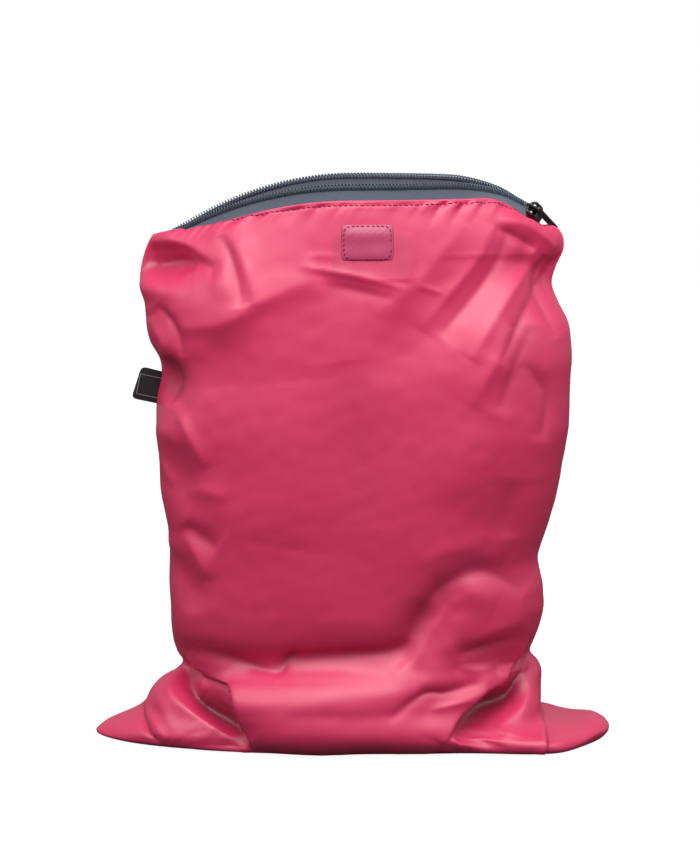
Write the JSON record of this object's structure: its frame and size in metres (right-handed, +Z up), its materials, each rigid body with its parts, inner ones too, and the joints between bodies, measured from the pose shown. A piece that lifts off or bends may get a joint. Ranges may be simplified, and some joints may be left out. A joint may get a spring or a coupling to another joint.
{
  "type": "zippered cloth wet bag",
  "caption": "Flat sewn pouch of coated nylon standing open on its folded base, with a coil zip along the mouth, a front patch and a side label.",
  "frame": {"origin": "on the floor under the middle of the bag, where the bottom seam passes", "axes": "+X from the bag's left corner to its right corner seen from the front, +Y from the front panel to the back panel, +Z up to the mouth"},
  "size_m": [0.302, 0.126, 0.3265],
  "materials": {
    "nylon": "satin coated plain weave",
    "zip_tape": "matte twill tape",
    "zip_coil": "semi-gloss coil",
    "zip_metal": "dark gunmetal",
    "label": "matte woven"
  },
  "bodies": {
    "bag": {"front_panel": "nylon", "back_panel": "nylon", "front_patch": "nylon", "front_zip_tape": "zip_tape", "back_zip_tape": "zip_tape", "front_zip_coil": "zip_coil", "back_zip_coil": "zip_coil", "zip_slider": "zip_metal", "side_label": "label"},
    "pull": {"zip_pull": "zip_metal"}
  },
  "joints": [
    {"name": "zip_pull_hinge", "type": "hinge", "parent": "bag", "child": "pull", "pos_m": [0.10571, 0.00279, 0.30933], "axis": [0.5, -0.866, 0], "range_deg": [0, 160]}
  ]
}
